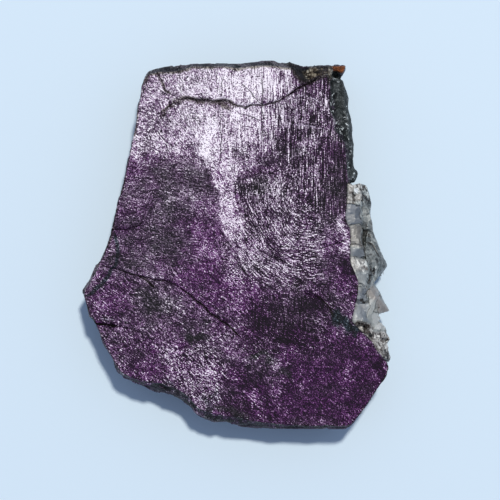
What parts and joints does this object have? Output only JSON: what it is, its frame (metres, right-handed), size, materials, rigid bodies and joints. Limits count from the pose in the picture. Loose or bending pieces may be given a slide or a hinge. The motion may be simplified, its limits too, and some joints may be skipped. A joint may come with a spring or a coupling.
{
  "type": "purpurite specimen",
  "caption": "Mineral hand specimen: a flat-faced slab of dark purple purpurite with broken sides and white quartz grown along one edge.",
  "frame": {"origin": "middle of the specimen's box, on the plane of its underside", "axes": "+Z out of the flat purple face, +Y along the longer side towards the cracked edge, quartz on the +X side"},
  "size_m": [0.034, 0.0412, 0.008],
  "materials": {
    "purpurite": "satin, scratched, metallic glints on near-black violet",
    "quartz": "glassy, translucent grey-white with brown specks"
  },
  "bodies": {
    "root": {"purpurite_slab": "purpurite", "quartz_rim": "quartz"}
  },
  "joints": []
}
